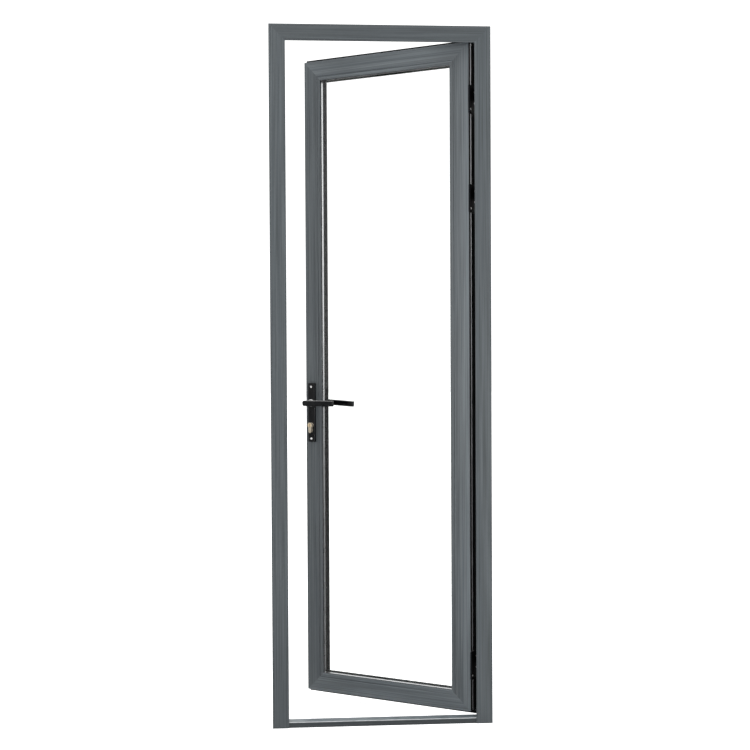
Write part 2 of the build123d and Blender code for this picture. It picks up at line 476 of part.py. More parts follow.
# ---------------------------------------------------------------- files
put("frame_jamb_lock_side", jamb_left, ORIGIN)
put("frame_jamb_hinge_side", jamb_right, ORIGIN)
put("frame_head", head, ORIGIN)
put("threshold", threshold, ORIGIN)
put("threshold_screws", sill_screws, ORIGIN)
put("frame_corner_cleats", frame_cleats, ORIGIN)
put("frame_stop_gasket", stop_gasket, ORIGIN)
put("strike_plate", strike, ORIGIN)
put("strike_screws", strike_screws, ORIGIN)
for name in HINGES:
    put(f"hinge_{name}_frame_half", hinge_frame[name], ORIGIN)
    put(f"hinge_{name}_leaf_half", hinge_leaf[name], LEAF)
put("hinge_pins", pins, ORIGIN)
put("hinge_frame_screws", frame_half_screws, ORIGIN)
put("hinge_leaf_screws", leaf_half_screws, LEAF)

put("leaf_stile_lock_side", stile_lock, LEAF)
put("leaf_stile_hinge_side", stile_hinge, LEAF)
put("leaf_rail_top", rail_top, LEAF)
put("leaf_rail_bottom", rail_bottom, LEAF)
put("leaf_corner_cleats", leaf_cleats, LEAF)
put("glazing_bead_lock_side", bead_lock, LEAF)
put("glazing_bead_hinge_side", bead_hinge, LEAF)
put("glazing_bead_top", bead_top, LEAF)
put("glazing_bead_bottom", bead_bottom, LEAF)
put("glass_pane_inside", pane_in, LEAF)
put("glass_pane_outside", pane_out, LEAF)
put("glass_spacer", spacer, LEAF)
put("glass_edge_seal", edge_seal, LEAF)
put("glazing_gasket_inside", gasket_in, LEAF)
put("glazing_gasket_outside", gasket_out, LEAF)
put("glazing_setting_blocks", blocks, LEAF)
put("leaf_lip_gasket", lip_gasket, LEAF)
put("leaf_edge_gasket", edge_gasket, LEAF)
put("leaf_inner_gasket", inner_gasket, LEAF)
put("leaf_edge_trim", edge_trim, LEAF)
put("bottom_brush_carrier", brush_carrier, LEAF)
put("bottom_brush", brush, LEAF)

put("lock_case", case, LEAF)
put("lock_faceplate", face_plate, LEAF)
put("lock_faceplate_screws", face_screws, LEAF)
put("key_cylinder_body", cylinder, LEAF)
put("key_cylinder_screw", cylinder_screw, LEAF)
put("backplate_inside", plate_in, LEAF)
put("backplate_outside", plate_out, LEAF)
put("backplate_screws", through_screws, LEAF)

put("latch_bolt", latch, LEAF)
put("deadbolt", bolt, LEAF)
put("key_plug_inside", plug_in, LEAF)
put("key_plug_outside", plug_out, LEAF)
put("key_cam", cam, LEAF)
put("lever_inside", lever_in, LEAF)
put("lever_outside", lever_out, LEAF)
put("lever_spindle", spindle, LEAF)
put("lever_grub_screws", [grub_in, grub_out], LEAF)
put("lever_collars", collars, LEAF)
put("lock_follower", follower, LEAF)
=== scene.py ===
import math
import random

import bmesh
import bpy
from mathutils import Matrix, Vector


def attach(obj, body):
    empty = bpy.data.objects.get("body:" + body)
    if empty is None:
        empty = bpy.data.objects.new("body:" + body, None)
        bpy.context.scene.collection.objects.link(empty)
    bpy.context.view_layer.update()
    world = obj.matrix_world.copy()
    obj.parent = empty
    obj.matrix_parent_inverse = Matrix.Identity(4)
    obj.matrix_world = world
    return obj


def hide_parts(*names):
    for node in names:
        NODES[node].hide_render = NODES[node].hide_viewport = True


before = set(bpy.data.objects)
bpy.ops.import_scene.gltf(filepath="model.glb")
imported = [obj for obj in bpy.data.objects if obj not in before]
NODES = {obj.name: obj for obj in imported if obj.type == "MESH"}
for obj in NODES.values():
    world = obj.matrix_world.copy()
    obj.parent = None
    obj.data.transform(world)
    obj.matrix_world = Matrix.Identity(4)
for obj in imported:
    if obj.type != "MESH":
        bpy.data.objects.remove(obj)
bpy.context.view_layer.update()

random.seed(7)

# ---------------------------------------------------------------- the leaf's own axes, at rest
OPEN = math.radians(32.8)
C, S = math.cos(OPEN), math.sin(OPEN)
U = Vector((C, -S, 0))            # along the leaf, away from the lock
T = Vector((S, C, 0))             # through the leaf, towards the outside
UP = Vector((0, 0, 1))


def leaf(u, t, z):
    """A point in the leaf's coordinates, in millimetres, as a point in the row frame, in metres."""
    return Vector((314 + C * (u - 605) + S * (t - 46), 30 - S * (u - 605) + C * (t - 46), z)) / 1000


def fixed(x, y, z):
    """The same for the frame: x from the lock-side jamb's outer face, y behind its inside face."""
    return Vector((x - 332, y - 21, z)) / 1000


# ---------------------------------------------------------------- node helpers
def material(name):
    m = bpy.data.materials.new(name)
    m.use_nodes = True
    nt = m.node_tree
    bsdf = nt.nodes["Principled BSDF"]
    return m, nt, bsdf


def node(nt, kind, **values):
    n = nt.nodes.new(kind)
    for k, v in values.items():
        if k in n.inputs:
            n.inputs[k].default_value = v
        else:
            setattr(n, k, v)
    return n


def place(nt, turn=0.0, scale=(1, 1, 1)):
    """Object coordinates, turned about Z and then scaled."""
    tc = node(nt, "ShaderNodeTexCoord")
    first = node(nt, "ShaderNodeMapping")
    first.inputs["Rotation"].default_value = (0, 0, turn)
    nt.links.new(tc.outputs["Object"], first.inputs["Vector"])
    second = node(nt, "ShaderNodeMapping")
    second.inputs["Scale"].default_value = scale
    nt.links.new(first.outputs["Vector"], second.inputs["Vector"])
    return second.outputs["Vector"]


def noise(nt, vector, scale, detail=2.0, rough=0.5):
    n = node(nt, "ShaderNodeTexNoise")
    n.inputs["Scale"].default_value = scale
    n.inputs["Detail"].default_value = detail
    n.inputs["Roughness"].default_value = rough
    nt.links.new(vector, n.inputs["Vector"])
    return n.outputs["Fac"]


def ramp(nt, fac, stops):
    r = node(nt, "ShaderNodeValToRGB")
    e = r.color_ramp.elements
    while len(e) > 1:
        e.remove(e[-1])
    e[0].position, e[0].color = stops[0][0], (*stops[0][1], 1)
    for pos, col in stops[1:]:
        x = e.new(pos)
        x.color = (*col, 1)
    nt.links.new(fac, r.inputs["Fac"])
    return r.outputs["Color"]


def remap(nt, fac, a, b, lo, hi):
    n = node(nt, "ShaderNodeMapRange")
    n.inputs["From Min"].default_value = a
    n.inputs["From Max"].default_value = b
    n.inputs["To Min"].default_value = lo
    n.inputs["To Max"].default_value = hi
    nt.links.new(fac, n.inputs["Value"])
    return n.outputs["Result"]


def mix(nt, fac, a, b, mode="MIX"):
    n = node(nt, "ShaderNodeMix", data_type="RGBA", blend_type=mode)
    if isinstance(fac, float):
        n.inputs["Factor"].default_value = fac
    else:
        nt.links.new(fac, n.inputs["Factor"])
    nt.links.new(a, n.inputs[6])
    nt.links.new(b, n.inputs[7])
    return n.outputs[2]


def bump(nt, bsdf, height, strength, distance):
    b = node(nt, "ShaderNodeBump")
    b.inputs["Strength"].default_value = strength
    b.inputs["Distance"].default_value = distance
    nt.links.new(height, b.inputs["Height"])
    nt.links.new(b.outputs["Normal"], bsdf.inputs["Normal"])


def tone(color, k):
    return tuple(max(0.0, c * k) for c in color)


# ---------------------------------------------------------------- finishes
def painted_sheen(nt, turn, start, end, gain):
    """A painted sheen: a slow rise in lightness between two places along the turned X axis, in metres."""
    sep = node(nt, "ShaderNodeSeparateXYZ")
    nt.links.new(place(nt, turn), sep.inputs[0])
    n = node(nt, "ShaderNodeMapRange", interpolation_type="LINEAR")
    n.inputs["From Min"].default_value = start
    n.inputs["From Max"].default_value = end
    nt.links.new(sep.outputs["X"], n.inputs["Value"])
    p = node(nt, "ShaderNodeMath", operation="POWER")
    p.inputs[1].default_value = 1.4
    nt.links.new(n.outputs["Result"], p.inputs[0])
    return ramp(nt, p.outputs[0], [(0.0, (1, 1, 1)), (1.0, (gain, gain, gain))])


def powder(name, color, along, turn=0.0, spread=0.25, rise=None, groove_shade=False, corner=None):
    """Satin powder coat: fine streaks along the member, slow cloudiness, a fine orange peel."""
    m, nt, bsdf = material(name)
    fine = {"x": (3.0, 330, 330), "z": (330, 330, 3.0)}[along]
    wide = {"x": (0.8, 90, 90), "z": (90, 90, 0.8)}[along]
    streaks = noise(nt, place(nt, turn, fine), 1.0, 2.0, 0.5)
    bands = noise(nt, place(nt, turn, wide), 1.0, 2.0, 0.5)
    cloud = noise(nt, place(nt, turn, (1, 1, 1)), 3.0, 2.0, 0.5)
    c1 = ramp(nt, streaks, [(0.34, tone(color, 1 - spread)), (0.66, tone(color, 1 + spread))])
    c2 = ramp(nt, bands, [(0.34, (0.91, 0.92, 0.93)), (0.66, (1.06, 1.05, 1.04))])
    c3 = ramp(nt, cloud, [(0.3, (0.95, 0.95, 0.96)), (0.7, (1.04, 1.04, 1.03))])
    col = mix(nt, 1.0, c1, c2, "MULTIPLY")
    col = mix(nt, 1.0, col, c3, "MULTIPLY")
    # painted sheen: with rise, the paint is made lighter across the given span
    if rise:
        col = mix(nt, 1.0, col, painted_sheen(nt, turn, *rise), "MULTIPLY")
    if corner is not None:
        # painted shade: near-black on the paint along the profile's outermost corner, the dark of the gap between leaf
        # and frame; a stand-in for the black line at the profile's outermost corner, guessed to be a lip of the edge
        # gasket
        gap_shade_axes = node(nt, "ShaderNodeSeparateXYZ")
        nt.links.new(place(nt, turn), gap_shade_axes.inputs[0])
        at = remap(nt, gap_shade_axes.outputs["X"], corner - 0.0002, corner + 0.0002, 0.0, 1.0)
        col = mix(nt, at, col, ramp(nt, cloud, [(0.3, (0.004, 0.004, 0.005)), (0.7, (0.007, 0.007, 0.008))]))
    if groove_shade:
        # painted shade: a near-black band 14 to 30 mm behind the leaf's inside face, the dark of the hardware groove
        # painted onto the powder coat; a stand-in for the black band 14 to 30 mm behind the leaf's inside face,
        # guessed to be an insulating bar
        sep = node(nt, "ShaderNodeSeparateXYZ")
        nt.links.new(place(nt, turn), sep.inputs[0])
        one = remap(nt, sep.outputs["Y"], 0.14931 + 0.0137, 0.14931 + 0.0140, 0.0, 1.0)
        two = remap(nt, sep.outputs["Y"], 0.14931 + 0.0308, 0.14931 + 0.0305, 0.0, 1.0)
        both = node(nt, "ShaderNodeMath", operation="MULTIPLY")
        nt.links.new(one, both.inputs[0])
        nt.links.new(two, both.inputs[1])
        col = mix(nt, both.outputs[0], col, ramp(nt, cloud, [(0.3, (0.004, 0.004, 0.005)), (0.7, (0.007, 0.007, 0.008))]))
    nt.links.new(col, bsdf.inputs["Base Color"])
    nt.links.new(remap(nt, streaks, 0.3, 0.7, 0.34, 0.46), bsdf.inputs["Roughness"])
    peel = noise(nt, place(nt, turn, (1, 1, 1)), 1500.0, 2.0, 0.6)
    bump(nt, bsdf, peel, 0.12, 0.0003)
    return m


def rubber(name, color=(0.0060, 0.0064, 0.0070), rough=0.72, spec=0.05):
    m, nt, bsdf = material(name)
    v = place(nt)
    grain = noise(nt, v, 1100.0, 3.0, 0.6)
    slow = noise(nt, v, 35.0, 3.0, 0.6)
    nt.links.new(ramp(nt, slow, [(0.3, tone(color, 0.75)), (0.72, tone(color, 1.5))]), bsdf.inputs["Base Color"])
    nt.links.new(remap(nt, slow, 0.3, 0.7, rough - 0.08, rough + 0.10), bsdf.inputs["Roughness"])
    bsdf.inputs["Specular IOR Level"].default_value = spec
    bump(nt, bsdf, grain, 0.25, 0.0002)
    return m


def lacquer(name, color=(0.0045, 0.0050, 0.0058), spec=0.30, rough=(0.26, 0.38), top_highlight=0.0):
    """Satin black lacquer with a fine texture, for the handle set and the hinges.
    Given a highlight strength, upward faces are painted greyer: a painted highlight, the light line along the lever's
    top edge."""
    m, nt, bsdf = material(name)
    v = place(nt)
    grain = noise(nt, v, 2400.0, 2.0, 0.6)
    slow = noise(nt, v, 60.0, 3.0, 0.55)
    col = ramp(nt, slow, [(0.3, tone(color, 0.8)), (0.7, tone(color, 1.35))])
    # painted highlight: upward faces made greyer
    if top_highlight:
        up = node(nt, "ShaderNodeSeparateXYZ")
        nt.links.new(node(nt, "ShaderNodeNewGeometry").outputs["Normal"], up.inputs[0])
        facing_up = remap(nt, up.outputs["Z"], 0.25, 0.75, 0.0, 1.0)
        col = mix(nt, facing_up, col, ramp(nt, grain, [(0.3, (top_highlight * 0.85,) * 3), (0.7, (top_highlight * 1.15,) * 3)]))
    nt.links.new(col, bsdf.inputs["Base Color"])
    nt.links.new(remap(nt, slow, 0.3, 0.7, rough[0], rough[1]), bsdf.inputs["Roughness"])
    bsdf.inputs["Specular IOR Level"].default_value = spec
    bump(nt, bsdf, grain, 0.10, 0.0002)
    return m


def metal(name, color, along=(1, 1, 1), turn=0.0, rough=(0.22, 0.38), spread=0.08, grain=900.0, strength=0.08, full=1.0):
    """Bare or plated metal, with a grain drawn out along the small scale."""
    m, nt, bsdf = material(name)
    g = noise(nt, place(nt, turn, along), grain, 3.0, 0.6)
    slow = noise(nt, place(nt), 45.0, 3.0, 0.6)
    c1 = ramp(nt, g, [(0.3, tone(color, 1 - spread)), (0.7, tone(color, 1 + spread))])
    c2 = ramp(nt, slow, [(0.3, (0.90, 0.90, 0.90)), (0.7, (1.05, 1.05, 1.05))])
    nt.links.new(mix(nt, 1.0, c1, c2, "MULTIPLY"), bsdf.inputs["Base Color"])
    nt.links.new(remap(nt, g, 0.3, 0.7, rough[0], rough[1]), bsdf.inputs["Roughness"])
    bsdf.inputs["Metallic"].default_value = full
    bump(nt, bsdf, g, strength, 0.0002)
    return m


def clear_glass(name):
    """Clear float glass: a thin smooth pane, faintly green, with the least waviness in its roughness."""
    m, nt, bsdf = material(name)
    v = place(nt)
    slow = noise(nt, v, 6.0, 2.0, 0.5)
    nt.links.new(ramp(nt, slow, [(0.3, (0.992, 0.999, 0.996)), (0.7, (0.996, 1.0, 0.998))]), bsdf.inputs["Base Color"])
    nt.links.new(remap(nt, slow, 0.3, 0.7, 0.0, 0.002), bsdf.inputs["Roughness"])
    bsdf.inputs["Transmission Weight"].default_value = 1.0
    bsdf.inputs["Specular IOR Level"].default_value = 0.25
    bsdf.inputs["IOR"].default_value = 1.45
    return m


def slots(nt, period, share, rows, half):
    """1 in two rows of short slots along a glass spacer: along Z on its uprights, along the leaf on its level runs."""
    sep = node(nt, "ShaderNodeSeparateXYZ")
    nt.links.new(place(nt, OPEN), sep.inputs[0])
    facing = node(nt, "ShaderNodeSeparateXYZ")
    nt.links.new(node(nt, "ShaderNodeNewGeometry").outputs["True Normal"], facing.inputs[0])

    def math_node(op, a, b=None):
        n = node(nt, "ShaderNodeMath", operation=op)
        for i, v in enumerate((a, b)):
            if v is None:
                continue
            if isinstance(v, (int, float)):
                n.inputs[i].default_value = v
            else:
                nt.links.new(v, n.inputs[i])
        return n.outputs[0]

    def dashes(coordinate):
        f = math_node("FRACT", math_node("MULTIPLY", coordinate, 1.0 / period))
        return math_node("LESS_THAN", math_node("ABSOLUTE", math_node("SUBTRACT", f, 0.5)), share / 2)

    level = math_node("GREATER_THAN", math_node("ABSOLUTE", facing.outputs["Z"]), 0.5)
    along_z, along_u = dashes(sep.outputs["Z"]), dashes(sep.outputs["X"])
    pick = math_node("ADD", math_node("MULTIPLY", along_z, math_node("SUBTRACT", 1.0, level)), math_node("MULTIPLY", along_u, level))
    inside = None
    for row in rows:
        hit = math_node("LESS_THAN", math_node("ABSOLUTE", math_node("SUBTRACT", sep.outputs["Y"], row)), half)
        inside = hit if inside is None else math_node("MAXIMUM", inside, hit)
    return math_node("MULTIPLY", pick, inside)


def spacer_finish(name):
    """Bright roll-formed spacer, with two rows of breather slots."""
    m, nt, bsdf = material(name)
    slow = noise(nt, place(nt), 45.0, 3.0, 0.6)
    body = ramp(nt, slow, [(0.3, (0.80, 0.81, 0.82)), (0.7, (0.88, 0.89, 0.90))])
    holes = slots(nt, 0.006, 0.30, (0.14931 + 0.0105, 0.14931 + 0.0145), 0.00035)
    dark = ramp(nt, holes, [(0.0, (1, 1, 1)), (1.0, (0.08, 0.08, 0.08))])
    nt.links.new(mix(nt, 1.0, body, dark, "MULTIPLY"), bsdf.inputs["Base Color"])
    nt.links.new(remap(nt, slow, 0.3, 0.7, 0.26, 0.36), bsdf.inputs["Roughness"])
    bsdf.inputs["Metallic"].default_value = 1.0
    bump(nt, bsdf, noise(nt, place(nt), 900.0, 2.0, 0.6), 0.05, 0.0002)
    return m


def sill_finish(name, color):
    """The threshold's powder coat: painted light on its tread, a painted highlight along the inside edge, painted shade
    on its face.
    """
    m, nt, bsdf = material(name)
    streaks = noise(nt, place(nt, 0.0, (4.0, 260, 260)), 1.0, 2.0, 0.5)
    tread_light_mottle = noise(nt, place(nt, 0.0, (30, 60, 60)), 1.0, 4.0, 0.65)
    sep = node(nt, "ShaderNodeSeparateXYZ")
    nt.links.new(place(nt), sep.inputs[0])
    top = remap(nt, sep.outputs["Z"], 0.0162, 0.0167, 0.0, 1.0)
    above = remap(nt, sep.outputs["Z"], 0.0150, 0.0154, 0.0, 1.0)
    front = remap(nt, sep.outputs["Y"], -0.0150, -0.0155, 0.0, 1.0)
    edge = node(nt, "ShaderNodeMath", operation="MULTIPLY")
    nt.links.new(above, edge.inputs[0])
    nt.links.new(front, edge.inputs[1])
    # painted shade on the face and painted light on the tread: darker and lighter copies of the frame's grey, as the
    # face is shaded and the top is lit from above
    face = ramp(nt, streaks, [(0.32, tone(color, 0.50)), (0.68, tone(color, 0.68))])
    tread = ramp(nt, tread_light_mottle, [(0.35, tone(color, 1.8)), (0.65, tone(color, 2.6))])
    # painted highlight along the inside top edge
    painted_edge_highlight = ramp(nt, tread_light_mottle, [(0.30, (0.30, 0.32, 0.33)), (0.60, (0.52, 0.54, 0.55))])
    col = mix(nt, top, face, tread)
    col = mix(nt, edge.outputs[0], col, painted_edge_highlight)
    nt.links.new(col, bsdf.inputs["Base Color"])
    nt.links.new(remap(nt, streaks, 0.3, 0.7, 0.34, 0.46), bsdf.inputs["Roughness"])
    bump(nt, bsdf, noise(nt, place(nt), 1500.0, 2.0, 0.6), 0.12, 0.0003)
    return m


def plastic(name, color, rough=0.5):
    m, nt, bsdf = material(name)
    v = place(nt)
    grain = noise(nt, v, 1700.0, 2.0, 0.6)
    slow = noise(nt, v, 30.0, 2.0, 0.5)
    nt.links.new(ramp(nt, slow, [(0.3, tone(color, 0.85)), (0.7, tone(color, 1.2))]), bsdf.inputs["Base Color"])
    nt.links.new(remap(nt, slow, 0.3, 0.7, rough - 0.05, rough + 0.07), bsdf.inputs["Roughness"])
    bump(nt, bsdf, grain, 0.12, 0.0002)
    return m


GREY_FRAME = (0.072, 0.083, 0.090)
# the leaf's grey is the frame's grey made a little lighter, where the leaf faces more light: painted light
GREY_LEAF = (0.078, 0.089, 0.096)
# along the leaf, the turned X axis reads (u - 605) / 1000 + its value at the hinge axis
HINGE_AT = Matrix.Rotation(OPEN, 3, "Z") @ Vector((0.314, 0.030, 0))


def along_leaf(u):
    return HINGE_AT.x + (u - 605) / 1000


# Tones set member by member to the brightness each shows in the photograph, whether paint or light causes it.
# each factor below makes a lighter or darker copy of one grey powder coat where the member is more or less lit: painted
# light and shade
frame_lock = powder("powder_frame_lock_side", tone(GREY_FRAME, 0.96), "z")
frame_hinge = powder("powder_frame_hinge_side", tone(GREY_FRAME, 0.97), "z")
frame_head = powder("powder_frame_head", tone(GREY_FRAME, 0.84), "x")
# each leaf member carries painted shade in its hardware groove; the hinge stile also a painted sheen toward its hinge
# edge and painted shade at its outermost corner
leaf_lock = powder("powder_leaf_lock_side", tone(GREY_LEAF, 0.92), "z", OPEN, groove_shade=True)
leaf_hinge = powder("powder_leaf_hinge_side", tone(GREY_LEAF, 1.02), "z", OPEN, rise=(along_leaf(536), along_leaf(578), 1.60), groove_shade=True, corner=along_leaf(580.4))
leaf_top = powder("powder_leaf_top", tone(GREY_LEAF, 1.26), "x", OPEN, groove_shade=True)
leaf_bottom = powder("powder_leaf_bottom", tone(GREY_LEAF, 1.34), "x", OPEN, groove_shade=True)
sill = sill_finish("powder_threshold", GREY_FRAME)
black_rubber = rubber("black_rubber")
black = lacquer("black_lacquer")
lever_black = lacquer("black_lever_lacquer", top_highlight=0.24)
hinge_black = lacquer("black_hinge_coat", spec=0.05, rough=(0.50, 0.62))
black_steel = metal("blackened_steel", (0.03, 0.03, 0.032), rough=(0.35, 0.5))
zinc = metal("zinc_plated_steel", (0.50, 0.50, 0.49), rough=(0.24, 0.38))
bright_zinc = metal("bright_zinc_plate", (0.93, 0.93, 0.92), rough=(0.30, 0.42), spread=0.03, full=0.45)
stainless_z = metal("stainless_upright", (0.56, 0.56, 0.55), along=(1, 1, 0.02), rough=(0.25, 0.42), strength=0.15)
mill = metal("mill_aluminium", (0.72, 0.73, 0.74), along=(1, 1, 0.05), rough=(0.30, 0.45))
trim_metal = metal("trim_aluminium", (0.80, 0.81, 0.83), along=(1, 1, 0.02), rough=(0.32, 0.5), spread=0.05)
spacer_metal = spacer_finish("spacer_aluminium")
glass = clear_glass("clear_float_glass")
nickel = metal("nickel_washed_brass", (0.86, 0.76, 0.60), rough=(0.20, 0.32), spread=0.06, full=0.75)
plug_brass = metal("plug_brass", (0.88, 0.70, 0.46), rough=(0.20, 0.32), spread=0.06, full=0.6)
collar_steel = metal("bright_steel", (0.92, 0.92, 0.91), rough=(0.16, 0.28), spread=0.04, full=0.7)
blocks = plastic("setting_block_plastic", (0.015, 0.03, 0.07))
black_plastic = plastic("black_plastic", (0.012, 0.012, 0.013), 0.45)
fibre = plastic("brush_fibre", (0.022, 0.022, 0.024), 0.6)

FINISH = {
    "frame_jamb_lock_side": frame_lock, "frame_jamb_hinge_side": frame_hinge, "frame_head": frame_head, "threshold": sill,
    "threshold_screws": zinc, "frame_corner_cleats": mill, "frame_stop_gasket": black_rubber, "strike_plate": stainless_z, "strike_screws": zinc,
    "hinge_upper_frame_half": hinge_black, "hinge_middle_frame_half": hinge_black, "hinge_lower_frame_half": hinge_black, "hinge_pins": black_steel,
    "hinge_frame_screws": bright_zinc, "leaf_stile_lock_side": leaf_lock, "leaf_stile_hinge_side": leaf_hinge, "leaf_rail_top": leaf_top,
    "leaf_rail_bottom": leaf_bottom, "leaf_corner_cleats": mill, "leaf_edge_trim": trim_metal, "leaf_edge_gasket": black_rubber, "leaf_inner_gasket": black_rubber,
    "glazing_bead_lock_side": leaf_lock, "glazing_bead_hinge_side": leaf_hinge,
    "glazing_bead_top": leaf_top, "glazing_bead_bottom": leaf_bottom, "glass_pane_inside": glass, "glass_pane_outside": glass,
    "glass_spacer": spacer_metal, "glass_edge_seal": black_rubber, "glazing_gasket_inside": black_rubber,
    "glazing_gasket_outside": black_rubber, "glazing_setting_blocks": blocks, "leaf_lip_gasket": black_rubber,
    "bottom_brush_carrier": black_plastic, "bottom_brush": fibre, "lock_case": zinc, "lock_faceplate": stainless_z,
    "lock_faceplate_screws": zinc, "key_cylinder_body": nickel, "key_cylinder_screw": zinc, "backplate_inside": black,
    "backplate_outside": black, "backplate_screws": zinc, "hinge_upper_leaf_half": hinge_black, "hinge_middle_leaf_half": hinge_black,
    "hinge_lower_leaf_half": hinge_black, "hinge_leaf_screws": zinc, "lever_inside": lever_black, "lever_outside": lever_black, "lever_spindle": zinc,
    "lever_grub_screws": black_steel, "lock_follower": zinc, "latch_bolt": zinc, "deadbolt": zinc, "key_plug_inside": plug_brass,
    "key_plug_outside": plug_brass, "key_cam": zinc, "lever_collars": collar_steel,
}
for name, o in NODES.items():
    if not o.material_slots:
        o.data.materials.append(FINISH[name])
    for s in o.material_slots:
        s.material = FINISH[name]

# ---------------------------------------------------------------- pieces remade finer than their plain solids
def closed(name, bm, mat, slot, body, *nodes):
    """A finished mesh as a piece: it rides on its body, takes the given finish and stands for the named nodes; the slot
    argument is not used.
    """
    bmesh.ops.recalc_face_normals(bm, faces=bm.faces)
    me = bpy.data.meshes.new(name)
    bm.to_mesh(me)
    bm.free()
    o = bpy.data.objects.new(name, me)
    bpy.context.scene.collection.objects.link(o)
    o.data.materials.append(mat)
    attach(o, body)
    if nodes:
        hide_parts(*nodes)
    return o


def turned_screw(bm, at, axis, across, rings, recess, turn=0.0, sides=28):
    """A countersunk screw as one closed skin: rings of (radius, depth) from the head's rim to the shank's end, and a cross recess in the head.

    at is the middle of the head's face, axis points into the work, across lies in the face."""
    ahead, side = axis.normalized(), across.normalized()
    up = ahead.cross(side)

    def ring(radius, depth, shape=None):
        out = []
        for i in range(sides):
            a = 2 * math.pi * i / sides
            r = radius if shape is None else shape(a)
            a += turn
            out.append(bm.verts.new(at + ahead * depth + side * (r * math.cos(a)) + up * (r * math.sin(a))))
        return out

    def star(long, short):
        """Radius of a four-armed outline at an angle: arms of half-width short, ending at long."""
        def shape(a):
            b = (a + math.pi / 4) % (math.pi / 2) - math.pi / 4
            return min(long, short / max(abs(math.sin(b)), 1e-6) if abs(b) > math.atan2(short, long) else long)
        return shape

    head = rings[0][0]
    long, short, deep = recess
    loops = [ring(0, deep * 0.97, lambda a: long * 0.22), ring(0, deep * 0.80, star(long * 0.52, short * 0.55)),
             ring(0, 0.00012 + 0.0, star(long, short)), ring(0, 0.0, star(long * 1.06, short * 1.18)), ring(head * 0.965, 0.0)]
    loops += [ring(r, d) for r, d in rings]
    for one, two in zip(loops, loops[1:]):
        for i in range(sides):
            j = (i + 1) % sides
            bm.faces.new((one[i], one[j], two[j], two[i]))
    bm.faces.new(loops[0])
    bm.faces.new(loops[-1])


def screws(name, mat, slot, body, nodes, many):
    bm = bmesh.new()
    for at, axis, across, head, sink, shank, length in many:
        reach = min(0.55 * head, 0.0021)
        turned_screw(bm, at, axis, across, [(head, 0.00022), (shank, sink), (shank, length - 0.0006), (shank * 0.72, length)],
                     (reach, reach * 0.26, min(sink * 0.85, 0.0013)), turn=random.uniform(0, math.pi))
    return closed(name, bm, mat, slot, body, *nodes)


MM = 0.001
HINGE_FEET = (1845.5, 1546.5, 127.5)
X, Y = Vector((1, 0, 0)), Vector((0, 1, 0))
many = []
for foot in HINGE_FEET:
    for y, dz in ((16.0, 14), (16.0, 70), (32.0, 52)):
        many.append((fixed(664 - 33 - 2.7, y, foot + dz), X, UP, 3.8 * MM, 1.8 * MM, 2.0 * MM, 12.7 * MM))
    for dz in (9, 32):
        many.append((fixed(657, 44.5, foot + dz), -Y, UP, 3.0 * MM, 1.4 * MM, 1.6 * MM, 11.5 * MM))
screws("hinge_frame_screws_cross", zinc, "steel", "frame", ["hinge_frame_screws"], many)
many = []
for foot in HINGE_FEET:
    for t, dz, length in ((33.5, 66.5, 12.5), (33.5, 33.0, 12.5), (5.5, 12.0, 8.4)):
        many.append((leaf(582 + 3.5, t, foot + dz), -U, UP, 3.9 * MM, 1.9 * MM, 2.0 * MM, length * MM))
screws("hinge_leaf_screws_cross", bright_zinc, "steel", "leaf", ["hinge_leaf_screws"], many)
screws("strike_screws_cross", zinc, "steel", "frame", ["strike_screws"],
       [(fixed(35, 25, z), -X, UP, 4.0 * MM, 2.0 * MM, 2.0 * MM, 14 * MM) for z in (891.0, 1013.0)])
screws("lock_faceplate_screws_cross", zinc, "steel", "leaf", ["lock_faceplate_screws"],
       [(leaf(-2.5, 20, z), U, UP, 4.0 * MM, 2.0 * MM, 2.0 * MM, 10.5 * MM) for z in (812.0, 1033.0)])
screws("key_cylinder_screw_cross", zinc, "steel", "leaf", ["key_cylinder_screw"],
       [(leaf(-2.5, 20, 870.5), U, UP, 4.4 * MM, 2.0 * MM, 2.4 * MM, 26.5 * MM)])
screws("backplate_screws_cross", bright_zinc, "steel", "leaf", ["backplate_screws"],
       [(leaf(24.5, -10, z), T, UP, 3.6 * MM, 2.0 * MM, 2.0 * MM, 60 * MM) for z in (846.5, 1013.5)])

# the brush seal's fibres: tapered, leaning a little, four rows set in the carrier
bm = bmesh.new()
for row in range(4):
    for i in range(820):
        u = 4.5 + (i + 0.25 * row + random.uniform(-0.3, 0.3)) * (573.0 / 820)
        u = min(max(u, 4.4), 577.6)
        t = 31.7 + row * 0.93 + random.uniform(-0.18, 0.18)
        foot_u = min(max(u + random.uniform(-1.0, 1.0), 4.3), 577.7)
        foot_t = min(max(t + random.uniform(-0.5, 0.5), 31.35), 34.85)
        low = 17.75 + abs(random.gauss(0, 0.25))
        r0, r1 = 0.26, 0.13
        spin = random.uniform(0, 2.1)
        top_ring = [bm.verts.new(leaf(u + r0 * math.cos(spin + k * 2.094), t + r0 * math.sin(spin + k * 2.094), 26.48)) for k in range(3)]
        low_ring = [bm.verts.new(leaf(foot_u + r1 * math.cos(spin + k * 2.094), foot_t + r1 * math.sin(spin + k * 2.094), low)) for k in range(3)]
        for k in range(3):
            bm.faces.new((top_ring[k], top_ring[(k + 1) % 3], low_ring[(k + 1) % 3], low_ring[k]))
        bm.faces.new(top_ring[::-1])
        bm.faces.new(low_ring)
closed("bottom_brush_fibres", bm, fibre, "brush_fibre", "leaf", "bottom_brush")

